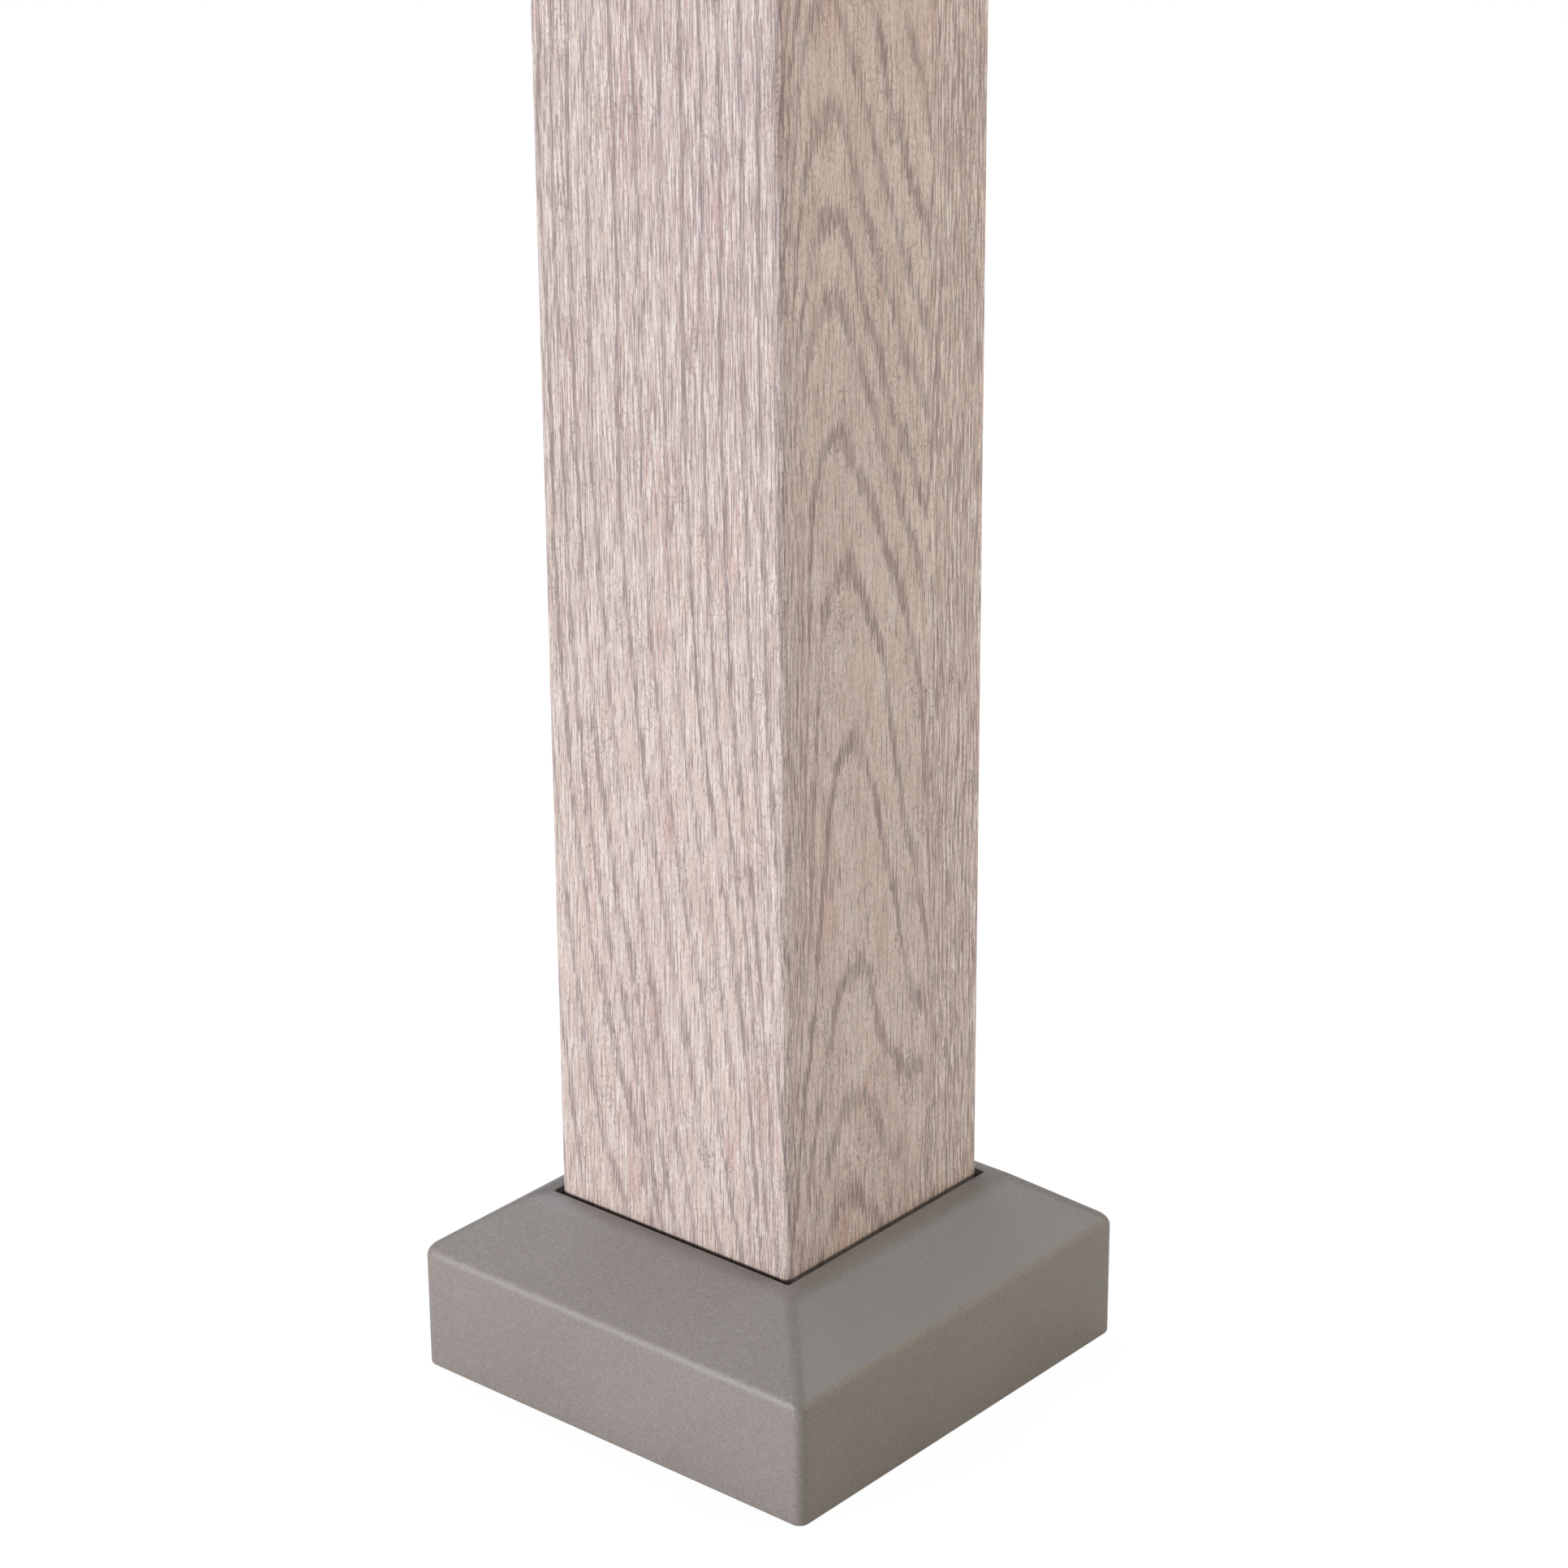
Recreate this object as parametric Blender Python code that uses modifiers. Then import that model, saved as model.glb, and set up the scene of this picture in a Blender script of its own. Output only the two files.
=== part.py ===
"""The foot of a square column post, standing in the base cover that hides where it meets the ground.

The post is a hollow square extrusion, cut square at both ends. The base cover is a moulded shell: upright
walls, sloping sides that round over into a narrow flat land, and a square opening that the post passes
through. Both stand on the ground. Lengths are in metres, +Z is up, and the origin is on the ground, on the
post's centre line.
"""

import math

import bmesh
import bpy

# The post
POST_WIDTH = 0.100
POST_WALL = 0.0020
POST_CORNER_RADIUS = 0.0025
POST_LENGTH = 1.000
POST_CORNER_SEGMENTS = 6

# The base cover
COVER_WIDTH = 0.1675
COVER_WALL_HEIGHT = 0.0440
COVER_SLOPE_RISE = 0.0200
COVER_SHELL = 0.0030
COVER_LAND_WIDTH = 0.0045
COVER_CORNER_RADIUS = 0.0040
COVER_SHOULDER_RADIUS = 0.0050
COVER_CROWN_RADIUS = 0.0160
COVER_FILLET_SEGMENTS = 6
COVER_FOOT_RADIUS = 0.0011
COVER_FOOT_SEGMENTS = 3

# The fit between the two
POST_CLEARANCE = 0.0018
OPENING_CORNER_RADIUS = 0.0010
OPENING_CORNER_SEGMENTS = 3

# The finishes: base colour, roughness and metallic value
LIMED_OAK_FILM = ((0.56, 0.46, 0.39), 0.50, 0.0)
TAUPE_PLASTIC = ((0.27, 0.245, 0.22), 0.45, 0.0)

# How far a cutter runs past the sheet that it cuts
CUTTER_MARGIN = 0.005
# Edges that turn less than this belong to a round face
SHARP_TURN = math.radians(60)
# Two places nearer than this are the same place
SAME_PLACE = 1e-6
# A face whose normal leans less than this from the vertical lies level
LEVEL_LEAN = math.radians(8)
# The profile value that makes a bevel round
ROUND_PROFILE = 0.5


def clear_scene():
    for old in list(bpy.data.objects):
        bpy.data.objects.remove(old, do_unlink=True)


def new_collection(name):
    collection = bpy.data.collections.new(name)
    bpy.context.scene.collection.children.link(collection)
    return collection


def new_material(name, finish):
    colour, roughness, metallic = finish
    material = bpy.data.materials.new(name)
    material.use_nodes = True
    shader = material.node_tree.nodes["Principled BSDF"]
    shader.inputs["Base Color"].default_value = (*colour, 1.0)
    shader.inputs["Roughness"].default_value = roughness
    shader.inputs["Metallic"].default_value = metallic
    material.diffuse_color = (*colour, 1.0)
    return material


def new_object(name, bm, collection):
    mesh = bpy.data.meshes.new(name)
    bm.to_mesh(mesh)
    bm.free()
    made = bpy.data.objects.new(name, mesh)
    collection.objects.link(made)
    return made


def box_mesh(width, bottom, top):
    """A square upright box on the post's centre line."""
    bm = bmesh.new()
    bmesh.ops.create_cube(bm, size=1.0)
    bmesh.ops.scale(bm, vec=(width, width, top - bottom), verts=bm.verts)
    bmesh.ops.translate(bm, vec=(0, 0, (bottom + top) / 2), verts=bm.verts)
    bm.normal_update()
    return bm


def level_faces(bm, up):
    """The level faces that look up (up is 1) or down (up is -1)."""
    return [face for face in bm.faces if face.normal.z * up > math.cos(LEVEL_LEAN)]


def is_upright(edge):
    one, other = edge.verts
    return (one.co - other.co).xy.length < SAME_PLACE


def is_at_height(edge, height):
    return all(abs(vertex.co.z - height) < SAME_PLACE for vertex in edge.verts)


def add_bevel(target, name, width, segments):
    bevel = target.modifiers.new(name, "BEVEL")
    bevel.width = width
    bevel.segments = segments
    bevel.offset_type = "OFFSET"
    bevel.limit_method = "ANGLE"
    bevel.angle_limit = SHARP_TURN
    return bevel


def add_shell(target, thickness):
    """Thicken an open sheet inwards, so that its outer face keeps its size."""
    shell = target.modifiers.new("shell", "SOLIDIFY")
    shell.thickness = thickness
    shell.offset = -1
    shell.use_even_offset = True
    return shell


def shade_rounds(target):
    target.data.shade_smooth()
    target.data.set_sharp_from_angle(angle=SHARP_TURN)


def make_post(collection):
    """A sheet in the form of a square tube, its corners rounded, then given its wall."""
    bm = box_mesh(POST_WIDTH, 0.0, POST_LENGTH)
    ends = level_faces(bm, 1) + level_faces(bm, -1)
    bmesh.ops.delete(bm, geom=ends, context="FACES_ONLY")
    post = new_object("post", bm, collection)
    post.data.materials.append(new_material("limed oak film on aluminium", LIMED_OAK_FILM))
    add_bevel(post, "corner rounding", POST_CORNER_RADIUS, POST_CORNER_SEGMENTS)
    add_shell(post, POST_WALL)
    shade_rounds(post)
    return post


def opening_width():
    return POST_WIDTH + 2 * POST_CLEARANCE


def cover_height():
    return COVER_WALL_HEIGHT + COVER_SLOPE_RISE


def slope_run():
    """How far the cover's sides come in, in plan, between the wall and the land."""
    land_outer_width = opening_width() + 2 * COVER_LAND_WIDTH
    return (COVER_WIDTH - land_outer_width) / 2


def cover_form():
    """The cover's outer form with sharp edges: a box without a floor, and a frustum on top of it."""
    bm = box_mesh(COVER_WIDTH, 0.0, COVER_WALL_HEIGHT)
    bmesh.ops.delete(bm, geom=level_faces(bm, -1), context="FACES_ONLY")
    roof = level_faces(bm, 1)
    bmesh.ops.inset_region(bm, faces=roof, thickness=slope_run(), use_even_offset=True)
    bmesh.ops.translate(bm, vec=(0, 0, COVER_SLOPE_RISE), verts=list(roof[0].verts))
    bm.normal_update()
    return bm


def fillet_reach(radius, turn):
    """How far a fillet reaches from an edge where the surface turns by this angle."""
    return radius * math.tan(turn / 2)


def hip_reach(slope):
    """The hips keep the corner radius in plan. This is its reach measured square to the hip."""
    along_hip = 1 / math.sqrt(2 + math.tan(slope) ** 2)
    return COVER_CORNER_RADIUS * math.sqrt(1 - along_hip**2)


def edge_reach(edge):
    """The reach of the fillet on an edge of the cover's sharp form; the rim at the foot has none."""
    slope = math.atan2(COVER_SLOPE_RISE, slope_run())
    if is_upright(edge):
        return fillet_reach(COVER_CORNER_RADIUS, math.pi / 2)
    if is_at_height(edge, COVER_WALL_HEIGHT):
        return fillet_reach(COVER_SHOULDER_RADIUS, math.pi / 2 - slope)
    if is_at_height(edge, cover_height()):
        return fillet_reach(COVER_CROWN_RADIUS, slope)
    if is_at_height(edge, 0.0):
        return 0.0
    return hip_reach(slope)


def weigh_edges(bm):
    """Give each edge its share of the widest fillet, and return that fillet's reach."""
    weights = bm.edges.layers.float.new("bevel_weight_edge")
    widest = max(edge_reach(edge) for edge in bm.edges)
    for edge in bm.edges:
        edge[weights] = edge_reach(edge) / widest
    return widest


def make_opening_cutter(collection):
    """A square prism with rounded corners, through the middle of the cover's roof."""
    bottom = cover_height() - COVER_SHELL - CUTTER_MARGIN
    bm = box_mesh(opening_width(), bottom, cover_height() + CUTTER_MARGIN)
    bmesh.ops.bevel(
        bm,
        geom=[edge for edge in bm.edges if is_upright(edge)],
        offset=OPENING_CORNER_RADIUS,
        offset_type="OFFSET",
        segments=OPENING_CORNER_SEGMENTS,
        profile=ROUND_PROFILE,
        affect="EDGES",
    )
    cutter = new_object("opening_cutter", bm, collection)
    cutter.hide_render = True
    cutter.display_type = "WIRE"
    return cutter


def make_base_cover(collection, cutters):
    """Fillet the sharp form, thicken it into a shell and cut the post's opening through its roof."""
    bm = cover_form()
    widest = weigh_edges(bm)
    cover = new_object("base_cover", bm, collection)
    cover.data.materials.append(new_material("taupe moulded plastic", TAUPE_PLASTIC))
    fillets = add_bevel(cover, "fillets", widest, COVER_FILLET_SEGMENTS)
    fillets.limit_method = "WEIGHT"
    add_shell(cover, COVER_SHELL)
    add_bevel(cover, "foot rounding", COVER_FOOT_RADIUS, COVER_FOOT_SEGMENTS)
    opening = cover.modifiers.new("post opening", "BOOLEAN")
    opening.operation = "DIFFERENCE"
    opening.solver = "EXACT"
    opening.object = make_opening_cutter(cutters)
    shade_rounds(cover)
    return cover


def main():
    clear_scene()
    parts = new_collection("column_post")
    cutters = new_collection("cutters")
    make_post(parts)
    make_base_cover(parts, cutters)


main()
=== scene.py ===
# %% [markdown]
# # The foot of a column post and its base cover
#
# The object is the lowest metre of a square hollow post. It carries a wood-grain film in pale limed oak, and
# it stands in a moulded cover that hides where the post meets the ground. The construction model gives the
# sizes. This file makes what the eye sees: finer meshes on the same sizes, and their finishes.
#
# Lengths are in metres and +Z is up. Where a size is easier to read in millimetres, its name ends in _MM.

# %% Load the construction model
import math

import bmesh
import bpy
import numpy as np
from mathutils import Matrix, Vector


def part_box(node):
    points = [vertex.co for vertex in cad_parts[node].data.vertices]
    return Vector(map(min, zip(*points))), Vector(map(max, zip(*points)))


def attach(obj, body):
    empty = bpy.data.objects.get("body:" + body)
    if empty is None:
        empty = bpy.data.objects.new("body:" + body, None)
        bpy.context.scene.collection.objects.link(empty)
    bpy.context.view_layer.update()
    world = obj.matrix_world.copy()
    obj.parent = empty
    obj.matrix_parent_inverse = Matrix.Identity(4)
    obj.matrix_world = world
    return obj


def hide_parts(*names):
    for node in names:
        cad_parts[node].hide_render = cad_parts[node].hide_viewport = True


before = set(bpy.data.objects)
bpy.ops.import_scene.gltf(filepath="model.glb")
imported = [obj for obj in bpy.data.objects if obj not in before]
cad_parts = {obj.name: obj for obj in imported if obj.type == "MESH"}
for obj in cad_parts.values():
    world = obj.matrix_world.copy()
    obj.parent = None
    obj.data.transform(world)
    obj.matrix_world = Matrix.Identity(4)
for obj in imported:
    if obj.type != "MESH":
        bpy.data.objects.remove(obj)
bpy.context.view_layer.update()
MM = 0.001

post_low, post_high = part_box("post")
cover_low, cover_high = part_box("base_cover")
print("post", [round(side / MM, 1) for side in post_high - post_low], "mm")
print("base cover", [round(side / MM, 1) for side in cover_high - cover_low], "mm")

# %% [markdown]
# ## The camera
#
# The upright edges of the post and the level edges of the cover fix where the picture was taken from: a long
# lens, a little over a metre away, turned about 40 degrees from the front and looking down by 22 degrees. A
# camera could be turned by hand until it looks right, but worked out from those edges it also gives the
# right perspective. It looks at the middle of the post's foot, and is then moved a little across and up in
# its own picture plane.

# %% Place the camera
PICTURE_SIDE_PX = 1932
FOCAL_LENGTH_PX = 5296.3
SENSOR_WIDTH_MM = 36.0
CAMERA_AZIMUTH = math.radians(40.374)
CAMERA_ELEVATION = math.radians(22.203)
CAMERA_ROLL = math.radians(-0.375)
CAMERA_DISTANCE = 1.4820
CAMERA_STEP_ACROSS = 0.0056
CAMERA_STEP_UP = 0.1937


def camera_axes(azimuth, elevation, roll):
    """The camera's own right, up and backward directions."""
    back = Vector(
        (
            math.sin(azimuth) * math.cos(elevation),
            -math.cos(azimuth) * math.cos(elevation),
            math.sin(elevation),
        )
    )
    level = Vector((math.cos(azimuth), math.sin(azimuth), 0))
    upright = back.cross(level)
    right = math.cos(roll) * level + math.sin(roll) * upright
    up = math.cos(roll) * upright - math.sin(roll) * level
    return right, up, back, level, upright


right, up, back, level, upright = camera_axes(CAMERA_AZIMUTH, CAMERA_ELEVATION, CAMERA_ROLL)
lens = bpy.data.cameras.new("camera")
lens.sensor_width = SENSOR_WIDTH_MM
lens.lens = FOCAL_LENGTH_PX * SENSOR_WIDTH_MM / PICTURE_SIDE_PX
camera = bpy.data.objects.new("camera", lens)
camera.matrix_world = Matrix((right, up, back)).transposed().to_4x4()
camera.location = back * CAMERA_DISTANCE + level * CAMERA_STEP_ACROSS + upright * CAMERA_STEP_UP
bpy.context.scene.collection.objects.link(camera)
bpy.context.scene.camera = camera
print("lens", round(lens.lens, 1), "mm, camera at", [round(x, 3) for x in camera.location])

# %% [markdown]
# ## Colour and nodes
#
# Colours are chosen on a screen, so they are written as sRGB hex values and turned to the linear values that
# light is added up in. They start from what the material usually looks like, and are then shifted until the
# render's average tones agree with the photo's. The picture is shown without a film-like tone curve, so that
# a colour on the object comes out as it was chosen.
#
# Every material below is a tree of nodes. One helper adds a node, sets its properties and fills or links its
# inputs, so that each line of a material reads as one step of the finish. Inputs go by name or by place. In
# a Map Range node, places 1 and 2 are the range that it reads, 3 and 4 the range that it gives. A Mix node
# has a pair of inputs for each type of value, all called A and B, so their places get names here.

# %% Helpers for colour and nodes
bpy.context.scene.view_settings.view_transform = "Standard"
NUMBER_A, NUMBER_B = 2, 3
COLOUR_A, COLOUR_B = 6, 7
MIXED_COLOUR = 2


def linear(hex_colour):
    """An sRGB hex colour as linear red, green, blue and alpha."""
    parts = [int(hex_colour[i : i + 2], 16) / 255 for i in (1, 3, 5)]
    return (*[c / 12.92 if c <= 0.04045 else ((c + 0.055) / 1.055) ** 2.4 for c in parts], 1.0)


def add_node(tree, kind, settings=None, inputs=None):
    """Add a node of this kind. An input's value is a number, a colour or another node's output."""
    node = tree.nodes.new(kind)
    for name, value in (settings or {}).items():
        setattr(node, name, value)
    for name, value in (inputs or {}).items():
        if isinstance(value, bpy.types.NodeSocket):
            tree.links.new(value, node.inputs[name])
        else:
            node.inputs[name].default_value = value
    return node


def new_material(name):
    """An empty material, its node tree and its principled shader, already linked to the surface."""
    material = bpy.data.materials.new(name)
    material.use_nodes = True
    tree = material.node_tree
    shader = tree.nodes["Principled BSDF"]
    return material, tree, shader


print("white is", [round(c, 3) for c in linear("#FFFFFF")])

# %% [markdown]
# ## The floor and the light
#
# The object stands on plain white studio paper. Behind parts that are for sale the ground is often cleaned
# to pure white. A floor lit that brightly would also light the object from below. So this paper glows a
# little towards the camera alone: the glow lights nothing. Inside the cover no light reaches the paper, and
# it doesn't glow there, or bright specks would show through the gap round the post.
#
# One large soft light, low in front and to the left, makes the left side of the post the bright one. A
# weaker, warmer one on the right keeps the shaded side open. Two more hang high up, a cool one behind on the
# right and a bluish one on the left, and light the cover's sloping sides. A weak white sky fills in from
# every side. Large lights give soft shadows, which suits a satin surface.

# %% Lay the floor
FLOOR_SIDE = 30.0
FLOOR_DROP = 0.2 * MM  # so that the floor and the object's foot don't lie in one plane
GLOW_STRENGTH = 1.1
GLOW_SHARE = 0.85
GLOW_FROM = cover_high.x - 3 * MM

floor_form = bmesh.new()
bmesh.ops.create_grid(floor_form, x_segments=1, y_segments=1, size=FLOOR_SIDE / 2)
floor_mesh = bpy.data.meshes.new("floor")
floor_form.to_mesh(floor_mesh)
floor_form.free()
floor = bpy.data.objects.new("floor", floor_mesh)
floor.location.z = -FLOOR_DROP
bpy.context.scene.collection.objects.link(floor)

paper, tree, shader = new_material("white studio paper, matt")
shader.inputs["Base Color"].default_value = linear("#E8E8E8")
shader.inputs["Roughness"].default_value = 0.9
shader.inputs["Specular IOR Level"].default_value = 0.1
glow = add_node(tree, "ShaderNodeEmission", None, {"Color": linear("#FFFFFF"), "Strength": GLOW_STRENGTH})
sight = add_node(tree, "ShaderNodeLightPath")
spot = add_node(tree, "ShaderNodeTexCoord")
spread = add_node(tree, "ShaderNodeVectorMath", {"operation": "ABSOLUTE"}, {0: spot.outputs["Object"]})
parts = add_node(tree, "ShaderNodeSeparateXYZ", None, {0: spread.outputs["Vector"]})
from_middle = add_node(
    tree, "ShaderNodeMath", {"operation": "MAXIMUM"}, {0: parts.outputs["X"], 1: parts.outputs["Y"]}
)
outside = add_node(
    tree, "ShaderNodeMath", {"operation": "GREATER_THAN"}, {0: from_middle.outputs[0], 1: GLOW_FROM}
)
shown = add_node(
    tree,
    "ShaderNodeMath",
    {"operation": "MULTIPLY"},
    {0: sight.outputs["Is Camera Ray"], 1: outside.outputs[0]},
)
share = add_node(tree, "ShaderNodeMath", {"operation": "MULTIPLY"}, {0: shown.outputs[0], 1: GLOW_SHARE})
blend = add_node(
    tree,
    "ShaderNodeMixShader",
    None,
    {0: share.outputs[0], 1: shader.outputs["BSDF"], 2: glow.outputs["Emission"]},
)
tree.links.new(blend.outputs["Shader"], tree.nodes["Material Output"].inputs["Surface"])
floor_mesh.materials.append(paper)
print("floor", FLOOR_SIDE, "m square")

# %% Set the lights
SKY_STRENGTH = 0.15
AIM = Vector((0.0, 0.0, 0.2))
# Where each light hangs, its width and height in metres, its power in watts, and its colour
LIGHTS = {
    "large soft light, front left": ((-0.9, -2.6, 0.5), (1.8, 0.9), 68.0, "#FFFFFF"),
    "warm light, right": ((2.4, 1.6, 0.8), (1.6, 1.2), 19.0, "#FFE8AB"),
    "cool light, high behind right": ((1.4, 1.6, 2.2), (1.6, 1.6), 37.0, "#EEF6FF"),
    "soft light, high left": ((-1.3, 0.35, 2.3), (1.6, 1.6), 31.0, "#E8F0FF"),
}

sky = bpy.data.worlds.new("pale sky")
sky.use_nodes = True
sky.node_tree.nodes["Background"].inputs["Color"].default_value = linear("#FFFFFF")
sky.node_tree.nodes["Background"].inputs["Strength"].default_value = SKY_STRENGTH
bpy.context.scene.world = sky
for name, (place, size, power, colour) in LIGHTS.items():
    lamp = bpy.data.lights.new(name, "AREA")
    lamp.shape = "RECTANGLE"
    lamp.size, lamp.size_y = size
    lamp.energy = power
    lamp.color = linear(colour)[:3]
    holder = bpy.data.objects.new(name, lamp)
    holder.location = place
    towards = AIM - Vector(place)
    holder.rotation_euler = towards.to_track_quat("-Z", "Y").to_euler()
    bpy.context.scene.collection.objects.link(holder)
    print(name, "at", round(towards.length, 2), "m")

# %% [markdown]
# ## How the grain runs
#
# Oak shows its growth rings as bands of coarse pores. Where a board is cut flat across the log, the rings
# make tall pointed arches in the middle, with long limbs on both sides, and fine straight lines near the
# edge. Where it is cut on the slant, they are near-vertical streaks. The film prints both: arches on the
# sides that face +X and +Y, streaks on the other two.
#
# A noise texture alone never makes such arches. So the rings are worked out here, as a height map is: each
# point of a side gets a ring number that grows from ring to ring, and a whole number means a band of pores.
# The finish then draws pores wherever the ring number is near a whole one. All these functions take places
# on a side in millimetres: across it from its left edge, and up from the ground.
#
# The heights of the arches and the places of the streaks were measured on the photo as far as it shows
# them. Higher up, behind the cover and on the far sides they are made up in the same manner.

# %% The rings of a flat-cut side
SIDE_MM = (post_high.x - post_low.x) / MM
LENGTH_MM = (post_high.z - post_low.z) / MM
ARCH_TOPS_MM = (
    [-60, -15, 45, 82, 117, 163, 240, 300, 345, 383, 410, 445, 478, 512, 551]
    + [598, 640, 671, 715, 768, 806, 838, 882, 935, 981, 1020, 1075, 1130, 1190, 1260]
)
FINE_LINE_MM = 2.1
STRAIGHT_FROM_MM, STRAIGHT_FULL_MM = 70, 77
STRAIGHT_START_MM, STRAIGHT_START_RING = 72, 8
SWAY_LENGTH_MM = 600
TIP_ROUND_MM = 4
LEFT_CURVE_MM, LEFT_CURVE_POWER, LEFT_DROP_LIMIT_MM = 9, 3.2, 300


def ease(value, start, end):
    """0 before start, 1 after end, and a smooth rise between them."""
    share = np.clip((value - start) / (end - start), 0, 1)
    return share * share * (3 - 2 * share)


def flat_cut_rings(across, height, arch_tops, lean_in=30.5, sway=6.5, sway_from=290.0):
    """Ring numbers where arches stand over each other, with straight grain near the right edge.

    The arches' middle sways on its way up the side. From there each ring drops at an even slope on the right,
    gently at first and then steeply on the left. The right slope changes low down and at the foot.
    """
    middle = lean_in - sway * np.sin(2 * np.pi * (height - sway_from) / SWAY_LENGTH_MM)
    side = across - middle
    low_down = ease(height, 280, 200)
    foot = ease(height, 150, 110)
    right_slope = 2.8 + 1.5 * low_down - 2.5 * foot
    right_drop = right_slope * (np.sqrt(side**2 + TIP_ROUND_MM**2) - TIP_ROUND_MM)
    left_drop = (5.0 - 2.4 * ease(height, 240, 60)) * (np.abs(side) / LEFT_CURVE_MM) ** LEFT_CURVE_POWER
    drop = np.where(side > 0, right_drop, np.minimum(left_drop, LEFT_DROP_LIMIT_MM))
    lift = 16 * ease(across, 60, 76) * ease(height, 190, 130)
    rings = np.interp(height + drop - lift, arch_tops, np.arange(len(arch_tops)))
    straight = STRAIGHT_START_RING + (across - STRAIGHT_START_MM) / FINE_LINE_MM
    return rings + (straight - rings) * ease(across, STRAIGHT_FROM_MM, STRAIGHT_FULL_MM)


print(len(ARCH_TOPS_MM), "arches, the widest gap", max(np.diff(ARCH_TOPS_MM)), "mm")

# %% The rings of a slant-cut side
STREAKS_MM = [-48, -38, -29, -19, -11, -4, 4, 9, 15, 22, 33.5, 43, 53, 61, 68.5, 76, 85, 92, 98, 108, 118]
BEND_MM = 28


def slant_cut_rings(across, height, lean=0.19, lean_until=262.0):
    """Ring numbers of near-vertical streaks that lean over below a soft bend, most in the side's middle."""
    in_middle = 0.55 + 0.45 * ease(across, 4, 40) - 0.5 * ease(across, 80, 100)
    below_bend = np.logaddexp(0, (lean_until - height) / BEND_MM) * BEND_MM
    return np.interp(across - lean * below_bend * in_middle, STREAKS_MM, np.arange(len(STREAKS_MM)))


print(len(STREAKS_MM), "streaks")

# %% Slow waves, because no ring is ruled
WAVES = 5


def slow_waves(across, height, width_mm, length_mm, seed):
    """A smooth wandering value between about -1 and 1, from a few seeded sine waves."""
    pick = np.random.default_rng(seed)
    total = np.zeros(np.broadcast(across, height).shape)
    for _ in range(WAVES):
        turns_across = pick.normal() / width_mm
        turns_up = pick.normal() / length_mm
        total += np.sin(2 * np.pi * (across * turns_across + height * turns_up + pick.random()))
    return total / math.sqrt(WAVES)


print("waves at one place:", round(float(slow_waves(10.0, 10.0, 30, 150, 1)), 2))

# %% [markdown]
# ## The post
#
# The real post is an aluminium extrusion: a square tube with a 2 mm wall and slightly rounded corners, sawn
# square at both ends. A cube with a bevel would do for the form. Here the skin is laid out as a grid
# instead, column by column round the tube and row by row up it, because the grain needs a place on the
# film for every point.
#
# Each face corner stores its numbers in four UV maps, which the film's material reads:
# - film: where the point lies on the wrapped film, in metres
# - rings: its ring number, and half the width of a band of pores there, counted in rings
# - figure: how busy the print is there, and its tone, which is partly how pale the print is and partly
#   painted light and shade
# - strokes: how far the fibres may move the ring number, counted in rings

# %% The plan of the tube
WALL = 2.0 * MM
CORNER_RADIUS = 2.5 * MM
COLUMNS_PER_SIDE = 60
CORNER_STEPS = 8
ROW_HEIGHT = 5.0 * MM


def rounded_square(half_width, radius, side_steps, corner_steps):
    """Points round a square with rounded corners, from the middle of one corner to the next, four times."""
    points = []
    for side in range(4):
        turn = Matrix.Rotation(side * math.pi / 2, 2)
        inner = half_width - radius
        start = [(-math.pi / 4) * (1 - step / (corner_steps / 2)) for step in range(corner_steps // 2)]
        for angle in start:
            x, y = -inner + radius * math.sin(angle), -inner - radius * math.cos(angle)
            points.append(turn @ Vector((x, y)))
        for step in range(side_steps + 1):
            points.append(turn @ Vector((-inner + 2 * inner * step / side_steps, -half_width)))
        for step in range(1, corner_steps // 2):
            angle = (math.pi / 4) * step / (corner_steps / 2)
            x, y = inner + radius * math.sin(angle), -inner - radius * math.cos(angle)
            points.append(turn @ Vector((x, y)))
    return np.array([tuple(point) for point in points])


outer_plan = rounded_square(SIDE_MM * MM / 2, CORNER_RADIUS, COLUMNS_PER_SIDE, CORNER_STEPS)
inner_plan = rounded_square(
    SIDE_MM * MM / 2 - WALL, CORNER_RADIUS - WALL, COLUMNS_PER_SIDE, CORNER_STEPS
)
POINTS_ROUND = len(outer_plan)
POINTS_PER_SIDE = POINTS_ROUND // 4
print("points round the tube:", POINTS_ROUND)

# %% Places on the film, and the ring numbers there
ROWS = round(LENGTH_MM * MM / ROW_HEIGHT)
SLANT_CUT_SIDES = (0, 3)
ARCH_BANDS_WIDER = 1.1
# Half a band of pores: measured across an upright ring, and up through the tip of an arch
BAND_HALF_WIDTH_MM = 0.95
BAND_HALF_HEIGHT_MM = 3.8
# How far a fibre may reach out of a band: sideways only a little, or an upright band would look wavy
STROKE_ACROSS_MM = 0.55
STROKE_UP_MM = 3.2
# Both are kept between these parts of a ring, so that bands neither merge nor vanish
NARROWEST_BAND = 0.05
WIDEST_BAND = 0.24

heights_mm = np.linspace(0, LENGTH_MM, ROWS + 1)
steps = np.linalg.norm(np.roll(outer_plan, -1, axis=0) - outer_plan, axis=1)
along = np.concatenate([[0], np.cumsum(steps)])
along_mm = along / along[-1] * 4 * SIDE_MM


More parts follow.
